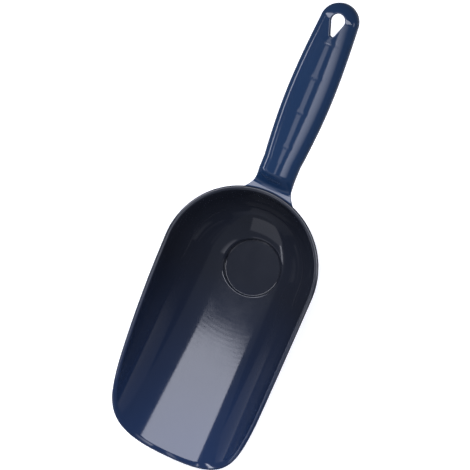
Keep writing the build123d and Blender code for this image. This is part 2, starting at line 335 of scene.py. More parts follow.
def rim_side(s, g, k):
    """One side of the rim line, dropped by k, on the surface moved out by g, from the lip to x = 0.
    The line is followed by its length in the side view, its place gives the section's height and
    swing, and the section gives the width. The steps are even along the line in space."""
    # Where the dropped nose bend meets the belly: two circles crossing
    far = Vector((s.nose_x, s.nose_z - s.axis_z))
    belly, nose = s.floor_bend_r + g, s.nose_r - k
    along = (belly**2 - nose**2 + far.length**2) / (2 * far.length)
    off = sqrt(belly**2 - along**2)
    e = far.normalized()
    x, z = min((e.x * along + w * e.y * off, s.axis_z + e.y * along - w * e.x * off) for w in (1, -1))
    last = s.straight + s.bend + s.nose_r * (atan2(s.nose_x - x, z - s.nose_z) - s.rim_bend_end)
    first = k * s.level

    def at(w):
        lam = first + (last - first) * (1 - (1 - w) ** 2)
        part = lam < s.straight, lam < s.straight + s.bend
        a = pick(*part, s.rim_fall, s.rim_fall + (lam - s.straight) / s.rim_bend_r,
                 s.rim_bend_end + (lam - s.straight - s.bend) / s.nose_r)
        x = pick(*part, -lam * cos(s.rim_fall), s.long_x - s.rim_bend_r * np.sin(a),
                 s.nose_x - s.nose_r * np.sin(a))
        z = pick(*part, s.rim_z - lam * sin(s.rim_fall), s.long_z + s.rim_bend_r * np.cos(a),
                 s.nose_z + s.nose_r * np.cos(a))
        x, z = x + k * np.sin(a), z - k * np.cos(a)
        h = s.axis_z - np.hypot(x, s.axis_z - z)
        theta = np.arctan2(-x, s.axis_z - z)
        q, turned = section_at_height(s, h, g)
        end = w >= 1
        return (np.where(end, 0.0, q), np.where(end, s.belly_z - g, h), np.where(end, -pi / 2, turned),
                theta, a)

    w = np.linspace(0, 1, FINE + 1)
    q, h, turned, theta, _ = at(w)
    p = swung(s, q, h, turned, theta, 1)[0]
    run = np.concatenate([[0], np.cumsum(np.linalg.norm(np.diff(p, axis=0), axis=1))])
    even = np.interp(np.linspace(0, run[-1], RAYS + 1), run, w)
    even[0], even[-1] = 0, 1
    return [v[::-1] for v in at(even)]


def rim_back(s, g, k):
    """The rim line round the back, dropped by k: a level cut of a cone leaning out, in closed form."""
    psi = np.linspace(pi / 2, -pi / 2, BACK_RAYS + 1)[1:-1]
    wide = s.bowl_half + g / cos(s.draft)
    tilt = np.cos(psi) * s.level
    h = s.rim_z + (wide * tilt - k / cos(s.rim_fall)) / (1 - s.lean * tilt)
    return wide + (h - s.rim_z) * s.lean, h, np.full_like(psi, -s.draft), psi


def round_trip(left, back, right):
    """One side, the back and the other side joined, from the lip back to the lip."""
    return np.concatenate([left, back, right[::-1]])


def rim_loop(s, g, k):
    """Points, outward normals and rim-top normals all round the rim, from the lip back to the lip."""
    q, h, turned, theta, a = rim_side(s, g, k)
    left, left_n = swung(s, q, h, turned, theta, 1)
    back, back_n = spun(*rim_back(s, g, k))
    right, right_n = swung(s, q, h, turned, theta, -1)
    top = np.stack([-np.sin(a), 0 * a, np.cos(a)], -1)
    back_top = np.tile([-sin(s.rim_fall), 0, cos(s.rim_fall)], (len(back), 1))
    return round_trip(left, back, right), round_trip(left_n, back_n, right_n), round_trip(top, back_top, top)


def bowl_sheet(s, g, rings):
    """The bowl's surface moved out by g, from the foot's circle out to the bead's lower line.
    Rays run straight in the two measures along the floor and up the section."""
    v = np.linspace(0, 1, rings)[None, :]
    _, h, turned, theta, _ = rim_side(s, g, s.bead_deep)
    t = length_along(s, h, turned, g)
    heading = np.arctan2(t, -theta * s.floor_bend_r)
    foot_y = s.foot_out * np.sin(heading)
    foot_h, foot_turned = height_at_width(s, foot_y, g)
    foot_theta = np.arcsin(-s.foot_out * np.cos(heading) / (s.axis_z - foot_h))
    foot_t = length_along(s, foot_h, foot_turned, g)
    theta_grid = foot_theta[:, None] + (theta - foot_theta)[:, None] * v
    t_grid = foot_t[:, None] + (t - foot_t)[:, None] * v
    spread = section_at_length(s, t_grid, g)
    left, left_n = swung(s, *spread, theta_grid, 1)
    right, right_n = swung(s, *spread, theta_grid, -1)
    _, h, turned, psi = rim_back(s, g, s.bead_deep)
    t = length_along(s, h, turned, g)
    foot_h, foot_turned = height_at_width(s, np.full_like(psi, s.foot_out), g)
    foot_t = length_along(s, foot_h, foot_turned, g)
    spread = section_at_length(s, foot_t[:, None] + (t - foot_t)[:, None] * v, g)
    back, back_n = spun(*spread, psi[:, None] + 0 * v)
    return round_trip(left, back, right), round_trip(left_n, back_n, right_n)


def floor_height(s, x, y, g):
    """Height and outward normal of the bowl's surface near the foot, moved out by g."""
    q = np.where(x < 0, np.abs(y), np.hypot(x, y))
    h, turned = height_at_width(s, q, g)
    r = s.axis_z - h
    theta = np.where(x < 0, np.arcsin(np.clip(-x / r, -1, 1)), 0)
    z = s.axis_z - r * np.cos(theta)
    out = np.where(q > 1e-9, q, 1)
    down, wide = np.sin(turned), np.cos(turned)
    n_front = np.stack([down * np.sin(theta), wide * np.sign(y), down * np.cos(theta)], -1)
    n_back = np.stack([wide * x / out, wide * y / out, down], -1)
    return z, np.where((x < 0)[..., None], n_front, n_back)


def bowl_shell_sheets(s):
    inner, inner_n = bowl_sheet(s, -s.wall, 84)
    outer, outer_n = bowl_sheet(s, 0.0, 40)
    top = rim_loop(s, 0.0, s.bead_deep)[2]
    upper = np.stack([inner[:, -1], outer[:, -1]], 1)
    lower = np.stack([inner[:, 0], outer[:, 0]], 1)
    axial = unit(inner[:, 0] * [1, 1, 0])
    return [(inner, -inner_n), (outer, outer_n),
            (upper, np.stack([top, top], 1)), (lower, -np.stack([axial, axial], 1))]


def rim_bead_sheets(s):
    """Profile of the bead carried along the rim: inner face, rounded edge, flat top, rounded edge,
    outer face and the small step under it. The profile's two measures are the offset from the
    bowl's surface and the drop below the rim, so it follows the rim exactly. The inner edge's
    rounding is a quarter ellipse, which grows from the sides' small one to the lip's long one as
    the rim turns down."""
    r, low = s.rim_edge, 0.0003
    bow = np.linspace(0, pi / 2, 9)
    inside, outside = -s.wall, s.bead_out
    grows_over = radians(28)

    def carried(across, down):
        """Points and normals for an inner rounding of these two radii."""
        profile = [(inside, k, 0.0, -1) for k in np.linspace(s.bead_deep, down, 5)[:-1]]
        profile += [(inside + across * (1 - cos(w)), down * (1 - sin(w)), w, -1) for w in bow]
        flat = outside - inside - across - r
        profile += [(inside + across + flat * f, 0.0, pi / 2, 1) for f in (0.33, 0.67)]
        profile += [(outside - r * (1 - cos(w)), r * (1 - sin(w)), w, 1) for w in bow[::-1]]
        profile += [(outside, k, 0.0, 1) for k in np.linspace(r, s.bead_deep - low, 4)[1:-1]]
        profile += [(outside - low * (1 - cos(w)), s.bead_deep - low * (1 - sin(w)), -w, 1) for w in bow[::2]]
        profile += [(0.0, s.bead_deep, -pi / 2, 1)]
        points, normals = [], []
        for g, k, w, face in profile:
            p, n, top = rim_loop(s, g, k)
            tilt = atan2(sin(w) * across, cos(w) * down) if face < 0 else w
            points.append(p)
            normals.append(unit(face * cos(tilt) * n + sin(tilt) * top))
        return np.stack(points, 1), np.stack(normals, 1), top

    points, normals, top = carried(s.rim_inner, s.rim_inner)
    at_lip, lip_normals, _ = carried(s.lip_across, s.lip_down)
    turned = np.clip((np.arcsin(-top[:, 0]) - s.rim_bend_end) / grows_over, 0, 1)[:, None, None]
    grown = turned * turned * (3 - 2 * turned)
    points = points + (at_lip - points) * grown
    normals = unit(normals + (lip_normals - normals) * grown)
    joint = np.stack([points[:, -1], points[:, 0]], 1)
    return [(points, normals), (joint, np.stack([normals[:, -1]] * 2, 1))]


def foot_cup_sheets(s):
    """A turned profile whose upper edges follow the bowl's floor: floor, wall and rounded lip
    inside, and wall and rounded edge outside."""
    ring = bowl_sheet(s, -s.wall, 2)[0][:, 0]
    az = np.unwrap(np.arctan2(ring[:, 1], ring[:, 0]))[:, None]
    az[-1] = az[0] - 2 * pi
    bow = np.linspace(0, pi / 2, 7)
    e, f = s.foot_edge, s.foot_inner
    lip_at = floor_height(s, s.foot_r * np.cos(az), s.foot_r * np.sin(az), -s.wall)[0]
    soft = s.foot_lip * (lip_at - s.foot_floor)
    # Inside, from the middle out
    flat_r = np.linspace(0, s.foot_r - f, 12)
    fillet_r = s.foot_r - f + f * np.sin(bow[1:])
    fillet_z = s.foot_floor + f * (1 - np.cos(bow[1:]))
    lip_r = s.foot_r + soft * (1 - np.cos(bow))
    ring_r = s.foot_r + soft + (s.foot_wall - soft) * np.array([1, 2, 3]) / 3
    r = np.concatenate([np.broadcast_to(np.concatenate([flat_r, fillet_r]), (len(az), 18)), lip_r, ring_r], 1)
    x, y = r * np.cos(az), r * np.sin(az)
    z_floor, n_floor = floor_height(s, x, y, -s.wall)
    drop = np.concatenate([np.zeros((len(az), 18)), soft * (1 - np.sin(bow)), 0 * ring_r], 1)
    on_lip = np.arange(r.shape[1]) >= len(flat_r) + len(fillet_r)
    own = np.concatenate([0 * flat_r + s.foot_floor, fillet_z, 0 * bow, np.zeros(3)])
    z = np.where(on_lip, z_floor - drop, own + 0 * az)
    lean = np.concatenate([0 * flat_r, bow[1:], pi / 2 - bow, np.zeros(3)])[None, :, None]
    p = np.stack([x, y, z], -1)
    out = level_way(az) + 0 * p
    up = np.where(on_lip[None, :, None], -n_floor, [0, 0, 1.0])
    inside = (p, up * np.cos(lean) - out * np.sin(lean))
    # Outside, from the middle of the underside out and up
    flat_r = np.linspace(0, s.foot_out - e, 10)
    r = np.concatenate([flat_r, s.foot_out - e + e * np.sin(bow[1:]), [s.foot_out] * 3])[None, :]
    x, y = r * np.cos(az), r * np.sin(az)
    top_z, under_z = (floor_height(s, s.foot_out * np.cos(az), s.foot_out * np.sin(az), g)[0]
                      for g in (-s.wall, 0.0))
    rise = np.concatenate([np.zeros(10), e * (1 - np.cos(bow[1:]))])[None, :] + 0 * az
    z = np.concatenate([rise, (e + under_z) / 2, under_z, top_z], 1)
    lean = np.concatenate([np.zeros(10), bow[1:], [pi / 2] * 3])[None, :, None]
    p = np.stack([x, y, z], -1)
    outside = (p, np.array([0, 0, -1.0]) * np.cos(lean) + (level_way(az) + 0 * p) * np.sin(lean))
    return [inside, outside]


# ---- the handle's surfaces

CROWN_STEPS = 48     # steps across the crown
RIBS = 4             # cross ribs under it
WAIST_EASE = 0.007   # stretch over which the sides start level with the neck's
SINK_ALONG, SINK_ACROSS = 0.0014, 0.0034  # half-widths of the mark over a cross rib
# Groove over the spine: its depth over the marks', its half-width and the length of its fading
GROOVE_SHARE, GROOVE_HALF, GROOVE_FADE = 0.35, 0.0016, 0.0012


def handle_place(s, p, n):
    """From the handle's own frame, u along it, v across, h up, to the scoop's frame."""
    c, d = cos(s.rise), sin(s.rise)
    turn = np.array([[c, 0, -d], [0, 1, 0], [d, 0, c]])
    return p @ turn.T + [s.waist_x, 0, s.waist_z], n @ turn.T


def half_width(s, u):
    """Half-width of the handle and its slope: quarter sine up to the swell, quarter cosine after.
    Over the first stretch it starts level, so that the neck runs into it smoothly."""
    up, down = pi / 2 / s.grip_u, pi / 2 / (s.end_u - s.grip_u)
    a, b = up * u, down * (u - s.grip_u)
    before, after = s.grip_half - s.waist_half, s.grip_half - s.end_r
    first = u < s.grip_u
    w = np.where(first, s.waist_half + before * np.sin(a), s.end_r + after * np.cos(b))
    slope = np.where(first, before * np.cos(a) * up, -after * np.sin(b) * down)
    f = np.clip(u / WAIST_EASE, 0, 1)
    start = before * up
    w = w - start * WAIST_EASE * f * (1 - f) ** 2
    return w, slope - start * ((1 - f) ** 2 - 2 * f * (1 - f)) * (u < WAIST_EASE)


def sink(s, u, v):
    """Depth of the shrinkage marks at a place of the crown, and its slopes along and across:
    a shallow groove over the spine and a dimple over each cross rib, each a bell curve."""
    fade = 1 / (1 + np.exp((u - (s.tip_u - s.rib_from_end)) / GROOVE_FADE))
    groove = GROOVE_SHARE * s.sink_deep * np.exp(-(v / GROOVE_HALF) ** 2) * fade
    d, du, dv = groove, 0 * groove, -2 * v / GROOVE_HALF**2 * groove
    for k in range(RIBS):
        off = u - (s.tip_u - s.rib_from_end - k * s.rib_pitch)
        bell = s.sink_deep * np.exp(-(off / SINK_ALONG) ** 2 - (v / SINK_ACROSS) ** 2)
        d, du, dv = d + bell, du - 2 * off / SINK_ALONG**2 * bell, dv - 2 * v / SINK_ACROSS**2 * bell
    return d, du, dv


def crown(s, x, y, inset):
    """The crown over its unrolled plan: x along the handle, y the angle across times a constant,
    and polar coordinates round the end. The section is half an ellipse, and the end is the same
    ellipse turned about an upright axis."""
    quarter = pi / 2 * s.end_r
    end = x > s.end_u
    ring = np.hypot(x - s.end_u, y)
    gam = np.where(end, ring, y) / quarter * pi / 2
    w, slope = half_width(s, np.minimum(x, s.end_u))
    w = w - inset
    deep, r = s.crown_deep - inset, s.end_r - inset
    safe = np.where(ring > 1e-9, ring, 1)
    cb, sb = (x - s.end_u) / safe, y / safe
    sg, cg = np.sin(gam), np.cos(gam)
    u = np.where(end, s.end_u + r * sg * cb, x)
    v = np.where(end, r * sg * sb, w * sg)
    h = -s.crown_deep + deep * cg
    n = unit(np.stack([np.where(end, deep * sg * cb, -deep * slope * sg * sg),
                       np.where(end, deep * sg * sb, deep * sg), np.where(end, r * cg, w * cg)], -1))
    p = np.stack([u, v, h + 0 * u], -1)
    if inset == 0:
        d, du, dv = sink(s, u, v)
        tilt = np.stack([du, dv, 0 * du], -1)
        tilt = tilt - (tilt * n).sum(-1, keepdims=True) * n
        p, n = p - d[..., None] * n, unit(n + tilt)
    return p, n


def unrolled(s, u, v, inset):
    """Place in the crown's unrolled plan of a point seen from above."""
    quarter = pi / 2 * s.end_r
    w = half_width(s, np.minimum(u, s.end_u))[0] - inset
    out = np.hypot(u - s.end_u, v)
    across = np.arcsin(np.clip(v / w, -1, 1)) / (pi / 2) * quarter
    ring = np.arcsin(np.clip(out / (s.end_r - inset), 0, 1)) / (pi / 2) * quarter
    safe = np.where(out > 1e-9, out, 1)
    end = u > s.end_u
    return np.where(end, s.end_u + ring * (u - s.end_u) / safe, u), np.where(end, ring * v / safe, across)


def teardrop(s, f, grow):
    """Hang hole's outline moved out by grow, and its outward heading. f goes once round in even
    lengths: round end, straight side, narrow end, straight side. Centre, radius and heading
    each change in a straight line over a stretch."""
    big, small = s.hole_r * (pi - s.eye_tilt), s.hole_tip_r * s.eye_tilt
    side = (s.eye_round_u - s.eye_tip_u) * sin(s.eye_tilt)
    marks = np.cumsum([0, big, side, 2 * small, side, big])
    a, b, t = s.eye_round_u, s.eye_tip_u, s.eye_tilt
    at = f * marks[-1]
    centre = np.interp(at, marks, [a, a, b, b, a, a])
    radius = np.interp(at, marks, [s.hole_r, s.hole_r, s.hole_tip_r, s.hole_tip_r, s.hole_r, s.hole_r]) + grow
    heading = np.interp(at, marks, [0, pi - t, pi - t, pi + t, pi + t, 2 * pi])
    return centre + radius * np.cos(heading), radius * np.sin(heading), heading


def end_outline(s):
    """Outer edge of the crown's end part in its unrolled plan: the round end's half, one side back
    to the grip, across, and out again; and where on the teardrop each of its points looks."""
    quarter, start = pi / 2 * s.end_r, s.eye_tip_u - 0.008
    arc = np.linspace(0, pi / 2, 19)
    side = np.linspace(s.end_u, start, 19)[1:]
    cross = np.linspace(quarter, -quarter, CROWN_STEPS + 1)[1:]
    x = np.concatenate([s.end_u + quarter * np.cos(arc), side, 0 * cross + start, side[::-1][1:],
                        s.end_u + quarter * np.cos(arc[::-1])])
    y = np.concatenate([quarter * np.sin(arc), 0 * side + quarter, cross, 0 * side[1:] - quarter,
                        -quarter * np.sin(arc[::-1])])
    f = np.linspace(0, 1, 4001)
    u, v, _ = teardrop(s, f, s.eye_wall)
    hole_x, hole_y = unrolled(s, u, v, 0.0)
    look = np.unwrap(np.arctan2(hole_y, hole_x - s.eye_round_u))
    want = np.unwrap(np.arctan2(y, x - s.eye_round_u))
    want[-1] = 2 * pi
    return x, y, np.interp(want, look, f), start


def edge_profile(top_out, foot_out, top_in, foot_in, r):
    """Side wall's section from the crown's outer spring down, round the lower edge and up inside.
    The corners are quadratic curves between points a distance r from each corner."""
    def toward(a, b, d):
        return a + d * unit(b - a)

    def corner(a, c, b):
        t = np.linspace(0, 1, 5)[:, None]
        return [(1 - w) ** 2 * a + 2 * w * (1 - w) * c + w * w * b for w in t]

    down, up = toward(foot_out, top_out, r), toward(foot_in, top_in, r)
    across, back = toward(foot_out, foot_in, r), toward(foot_in, foot_out, r)
    rows = [top_out, top_out + (down - top_out) * 0.35, top_out + (down - top_out) * 0.7]
    rows += corner(down, foot_out, across) + [(across + back) / 2] + corner(back, foot_in, up)
    rows += [top_in + (up - top_in) * 0.7, top_in + (up - top_in) * 0.35, top_in]
    return np.stack(rows, -2)


def handle_shell_sheets(s):
    """Crown outside and inside, each a plain grid up to the hang hole's part and a grid of rays
    round the hole, then the side walls carried round the handle's whole outline."""
    x_out, y_out, look, start = end_outline(s)
    quarter = pi / 2 * s.end_r
    rows = np.linspace(0, start, 90)
    cross = np.linspace(quarter, -quarter, CROWN_STEPS + 1)
    sheets, holes, first = [], [], []
    for inset, face in ((0.0, 1), (s.shell_wall, -1)):
        p, n = crown(s, rows[:, None] + 0 * cross, cross[None, :] + 0 * rows[:, None], inset)
        sheets.append((p, face * n))
        first.append(p[0])
        u, v, _ = teardrop(s, look, s.eye_wall)
        hole_x, hole_y = (c[:, None] for c in unrolled(s, u, v, inset))
        f = np.linspace(0, 1, 15) ** 1.2
        p, n = crown(s, hole_x + (x_out[:, None] - hole_x) * f, hole_y + (y_out[:, None] - hole_y) * f, inset)
        sheets.append((p, face * n))
        holes.append(p[:, 0])
    heading = teardrop(s, look, 0.0)[2]
    sheets.append((np.stack(holes, 1), np.stack([-level_way(heading)] * 2, 1)))
    # Side walls: outline's base, the way in, and the plan's normal
    side = np.concatenate([rows[:-1], np.linspace(s.end_u, start, 19)[::-1]])
    beta = np.linspace(pi / 2, -pi / 2, 37)[1:-1]
    w, slope = half_width(s, side)
    one = np.ones_like(side)
    turning = np.stack([np.cos(beta), np.sin(beta)], -1)

    def outline(ahead, aside, end):
        """One side, the round end and the other side, where the second measure changes sign."""
        return round_trip(np.stack([ahead, aside], -1), end, np.stack([ahead, -aside], -1))

    base = outline(side, w, [s.end_u, 0] + s.end_r * turning)
    inward = outline(0 * one, -one, -turning)
    plan = unit(outline(-slope, one, turning))
    t, low, spring = s.shell_wall, -s.shell_deep, -s.crown_deep
    bends = (0.0, spring), (0.0, low), (t, spring), (t, low)
    profile = edge_profile(*(np.array(bend) for bend in bends), s.lower_edge)

    def with_height(flat, height):
        return np.concatenate([flat, np.broadcast_to(height[None, :, None], (*flat.shape[:2], 1))], -1)

    p = with_height(base[:, None] + inward[:, None] * profile[None, :, :1], profile[:, 1])
    along = np.gradient(profile, axis=0)
    out, down = unit(np.stack([-along[:, 1], -along[:, 0]], -1)).T
    sheets.append((p, with_height(plan[:, None] * out[None, :, None], -down)))
    # Face against the neck
    half = len(profile) // 2
    outer = np.concatenate([p[0, :half + 1][::-1], first[0], p[-1, :half + 1]])
    inner = np.concatenate([p[0, half:], first[1], p[-1, half:][::-1]])
    sheets.append((np.stack([outer, inner], 1), np.tile([-1.0, 0, 0], (len(outer), 2, 1))))
    return [handle_place(s, *sheet) for sheet in sheets]


def hang_eye_sheets(s):
    """Rings round the hang hole: over the crown to a rounded edge, down the hole, round the lower
    edge and up the outside of the wall."""
    _, _, look, _ = end_outline(s)
    e, low, bow = s.eye_edge, 0.0004, np.linspace(0, pi / 2, 8)
    grow = np.concatenate([np.linspace(s.eye_wall, e, 4)[:-1], e * (1 - np.sin(bow))])
    sunk = np.concatenate([np.zeros(3), e * (1 - np.cos(bow))])
    lean = np.concatenate([np.zeros(3), bow])[None, :, None]
    u, v, heading = teardrop(s, look[:, None], grow[None, :])
    p, n = crown(s, *unrolled(s, u, v, 0.0), 0.0)
    out = level_way(heading) + 0 * p
    top = (p - sunk[None, :, None] * [0, 0, 1.0], n * np.cos(lean) - out * np.sin(lean))
    # The first and last rings of the wall are the top's own, and their heights here aren't used
    bow = bow[::2]
    grow = np.concatenate([[0.0, 0.0], low * (1 - np.cos(bow[1:])), s.eye_wall - low * (1 - np.sin(bow)),
                           [s.eye_wall]])
    rise = np.concatenate([[0.0, low], low * (1 - np.sin(bow[1:])), low * (1 - np.cos(bow)), [0.0]])
    u, v, heading = teardrop(s, look[:, None], grow[None, :])
    p = np.stack([u, v, 0 * u - s.eye_deep + rise], -1)
    p[:, 0], p[:, -1] = top[0][:, -1], top[0][:, 0]
    lean = np.concatenate([[0, 0], bow[1:], pi / 2 + bow, [pi]])[None, :, None]
    out = level_way(heading) + 0 * p
    wall = (p, -out * np.cos(lean) - np.array([0, 0, 1.0]) * np.sin(lean))
    return [handle_place(s, *sheet) for sheet in (top, wall)]


def neck_flare_sheets(s):
    """The handle's section carried down to the bowl's back. On the way it eases from the handle's
    depth and crown to the neck's, drops, turns level and widens on an arc. Each line along it
    starts where it goes into the bowl's wall."""
    flare_x = sqrt((s.back_r + s.neck_flare_r) ** 2 - (s.waist_half + s.neck_flare_r) ** 2) - s.neck_sink
    root_z = s.back_z - s.neck_under_rim
    gam = np.linspace(pi / 2, -pi / 2, CROWN_STEPS + 1)

    def loops(x):
        """Closed section loops at each x: side wall, crown outside, other side wall, crown inside."""
        bent = np.clip((flare_x - x) / s.neck_flare_r, 0, sin(s.neck_flare_turn))
        half = s.waist_half + s.neck_flare_r * (1 - np.sqrt(1 - bent**2))
        f = np.clip((s.waist_x - x) / s.neck_long, 0, 1)
        g = np.clip(1 - (s.neck_long * (1 - f) - s.neck_level) / s.neck_drop, 0, 1)
        ease = g * g * (3 - 2 * g)
        foot = s.waist_half + (s.neck_foot_half - s.waist_half) * ease
        deep = s.shell_deep + (s.neck_deep - s.shell_deep) * ease
        arch = s.crown_deep + (s.neck_crown - s.crown_deep) * ease
        turn = s.rise * (1 - ease)
        z = s.waist_z + (root_z - s.waist_z) * ease - tan(s.rise) * s.neck_long * f * (1 - ease)
        t = s.shell_wall
        arch_in = arch * (1 - t / s.crown_deep)
        pair = lambda a, b: np.stack([a + 0 * x, b + 0 * x], -1)
        side = edge_profile(pair(half, -arch), pair(foot, -deep), pair(half - t, -t - arch_in),
                            pair(foot - t, -deep), s.lower_edge)
        half, arch, arch_in, turn, x, z = (c[..., None] for c in (half, arch, arch_in, turn, x, z))
        top = np.stack([half * np.sin(gam), -arch * (1 - np.cos(gam))], -1)
        under = np.stack([(half - t) * np.sin(gam), -t - arch_in * (1 - np.cos(gam))], -1)
        m = side.shape[-2] // 2
        loop = np.concatenate([side[..., m::-1, :], top[..., 1:-1, :], side * [-1, 1],
                               under[..., -2:0:-1, :], side[..., :m - 1:-1, :]], -2)
        v, h = loop[..., 0], loop[..., 1]
        return np.stack([x - h * np.sin(turn), v, z + h * np.cos(turn)], -1)

    # Where each line goes into the bowl's wall
    deepest = 0.0003  # a line goes at least this far in, or else to where it comes nearest
    scan = np.linspace(flare_x - s.neck_flare_r * sin(s.neck_flare_turn), s.waist_x, 700)
    p = loops(scan)
    wide = section_at_height(s, p[..., 2], 0.0)[0]
    clear = (np.hypot(p[..., 0], p[..., 1]) - wide) * cos(s.draft)
    inside = clear < -deepest
    start = np.where(inside.any(0), len(scan) - 1 - np.argmax(inside[::-1], 0), np.argmin(clear, 0))
    steps = np.linspace(0, 1, 60)
    xs = scan[start][None, :] + (s.waist_x - scan[start])[None, :] * steps[:, None]
    # Each line has its own x at each step, so the loops are read off column by column
    count = xs.shape[1]
    flat = loops(xs.reshape(-1)).reshape(len(steps), count, count, 3)
    p = flat[:, np.arange(count), np.arange(count)]
    # Cove: the top curves up to the rim's outer edge as the square of what is left of its reach
    wide = section_at_height(s, p[..., 2], s.bead_out)[0]
    near = np.clip(1 - (np.hypot(p[..., 0], p[..., 1]) - wide) / s.neck_cove, 0, 1)
    on_top = np.zeros(count)
    m = (count - 2 * (CROWN_STEPS - 1)) // 4
    on_top[m:m + CROWN_STEPS + 1] = 1
    p[..., 2] += (s.neck_under_rim - s.rim_edge) * near**2 * on_top
    n = closed_slopes(p)
    if n[len(steps) // 2, count // 4, 2] < 0:
        n = -n
    # Faces against the bowl and the handle
    half, ends = count // 2, []
    for row, way in ((0, -1.0), (-1, 1.0)):
        face = np.stack([p[row, :half + 1], p[row, half:][::-1]], 1)
        ends.append((face, np.tile([way, 0, 0], (len(face), 2, 1))))
    return [(p, n), *ends]


# ---- finishes

def add_node(tree, kind, inputs=None, **settings):
    """A node with its settings, and its inputs set to values or linked from sockets."""
    node = tree.nodes.new(kind)
    for name, value in settings.items():
        setattr(node, name, value)
    for name, value in (inputs or {}).items():
        if isinstance(value, bpy.types.NodeSocket):
            tree.links.new(value, node.inputs[name])
        else:
            node.inputs[name].default_value = value
    return node


# Painted shade: the bowl's colour is darkest at its back and gives way to its front colour over this stretch
SHADE_FADE_FROM, SHADE_FADE_TO = -0.01, -0.12  # stretch along the bowl over which it turns to its front colour

# Finishes by slot: the material's name, its roughness and whether cutter rings show
FINISHES = {
    "bowl_satin": ("satin_moulded_polypropylene", 0.075, True),
    "handle_gloss": ("polished_moulded_polypropylene", 0.10, False),
}


def polypropylene(name, colour, front, roughness, rings):
    """Injection-moulded polypropylene: a waxy, even colour a little deeper where the melt ran
    thick, a smooth skin with a very fine ripple that keeps its highlights sharp, and faint
    handling scuffs that dull them here and there."""
    material = bpy.data.materials.new(name)
    material.use_nodes = True
    tree = material.node_tree
    tree.nodes.clear()
    place = add_node(tree, "ShaderNodeTexCoord").outputs["Object"]
    # Melt flow: soft patches about 40 mm across
    flow = add_node(tree, "ShaderNodeTexNoise", {"Vector": place, "Scale": 25.0, "Detail": 2.0})
    tone = add_node(tree, "ShaderNodeValToRGB", {"Fac": flow.outputs["Fac"]})
    tone.color_ramp.elements[0].position, tone.color_ramp.elements[1].position = 0.3, 0.7
    tone.color_ramp.elements[0].color = (0.92, 0.92, 0.92, 1)
    tone.color_ramp.elements[1].color = (1, 1, 1, 1)
    # Painted shade: the plastic is darker at the bowl's back and turns a little paler and bluer towards the
    # lip, standing in for the shade deep in the bowl
    along = add_node(tree, "ShaderNodeSeparateXYZ", {"Vector": place})
    painted_shade_ramp = add_node(tree, "ShaderNodeMapRange", {
        "Value": along.outputs["X"], "From Min": SHADE_FADE_FROM, "From Max": SHADE_FADE_TO})
    blend = add_node(tree, "ShaderNodeMix", data_type="RGBA")
    blend.inputs[6].default_value, blend.inputs[7].default_value = linear(colour), linear(front)
    tree.links.new(painted_shade_ramp.outputs["Result"], blend.inputs[0])
    shade = add_node(tree, "ShaderNodeMix", data_type="RGBA", blend_type="MULTIPLY")
    shade.inputs[0].default_value = 1.0
    tree.links.new(blend.outputs[2], shade.inputs[6])
    tree.links.new(tone.outputs["Color"], shade.inputs[7])
    # Skin: a real ripple of 0.3 mm is too fine to show, so it is drawn at about 1.2 mm
    skin = add_node(tree, "ShaderNodeTexNoise", {"Vector": place, "Scale": 850.0, "Detail": 3.0})
    # Scuffs: patches about 11 mm across, broken up finely
    scuff = add_node(tree, "ShaderNodeTexNoise", {
        "Vector": place, "Scale": 90.0, "Detail": 5.0, "Roughness": 0.6})
    rough = add_node(tree, "ShaderNodeMapRange", {
        "Value": scuff.outputs["Fac"], "From Min": 0.35, "From Max": 0.75,
        "To Min": roughness * 0.85, "To Max": roughness * 1.3})
    bump = add_node(tree, "ShaderNodeBump", {
        "Height": skin.outputs["Fac"], "Strength": 0.008, "Distance": 0.0004})
    if rings:
        # Cutter rings left on the polished core, about 3 mm apart round the upright axis
        wave = add_node(tree, "ShaderNodeTexWave", {"Vector": place, "Scale": 100.0, "Distortion": 0.3},
                        wave_type="RINGS", rings_direction="Z")
        bump = add_node(tree, "ShaderNodeBump", {
            "Height": wave.outputs["Fac"], "Strength": 0.003, "Distance": 0.0003,
            "Normal": bump.outputs["Normal"]})
    shader = add_node(tree, "ShaderNodeBsdfPrincipled", {
        "Base Color": shade.outputs[2], "Roughness": rough.outputs["Result"],
        "Normal": bump.outputs["Normal"], "IOR": 1.49, "Specular IOR Level": 0.5})
    add_node(tree, "ShaderNodeOutputMaterial", {"Surface": shader.outputs["BSDF"]})
    return material


def finish_for(slot):
    """The finish of a material slot, made once."""
    colours = bpy.context.scene.feed_scoop_colours
    name, roughness, rings = FINISHES[slot]
    found = bpy.data.materials.get(name)
    if found:
        return found
    # The bowl's finish, used on bowl, rim and foot, takes the darker pair: the handle's plastic with painted
    # shade
    ends = (colours.bowl, colours.bowl_front) if slot == "bowl_satin" else (colours.handle, colours.handle)
    return polypropylene(name, *ends, roughness, rings)


# ---- operators

class FEEDSCOOP_OT_bowl(Operator):
    """Wall and floor of the bowl, inside and out"""
    bl_idname = "feed_scoop.bowl"
    bl_label = "Bowl"

    def execute(self, context):
        build("bowl", bowl_shell_sheets(figure()), ["bowl_shell"], "bowl_satin")
        return {"FINISHED"}


class FEEDSCOOP_OT_rim(Operator):
    """Bead along the whole rim and lip, with rounded edges"""
    bl_idname = "feed_scoop.rim"
    bl_label = "Rim"

    def execute(self, context):
        build("rim", rim_bead_sheets(figure()), ["rim_bead"], "bowl_satin")
        return {"FINISHED"}


class FEEDSCOOP_OT_foot(Operator):
    """Round foot sunk in the bowl's floor"""
    bl_idname = "feed_scoop.foot"
    bl_label = "Foot"

    def execute(self, context):
        build("foot", foot_cup_sheets(figure()), ["foot_cup"], "bowl_satin")
        return {"FINISHED"}


class FEEDSCOOP_OT_neck(Operator):
    """Neck from the bowl's back up to the handle"""
    bl_idname = "feed_scoop.neck"
    bl_label = "Neck"

    def execute(self, context):
        build("neck", neck_flare_sheets(figure()), ["neck_flare"], "handle_gloss")
        return {"FINISHED"}


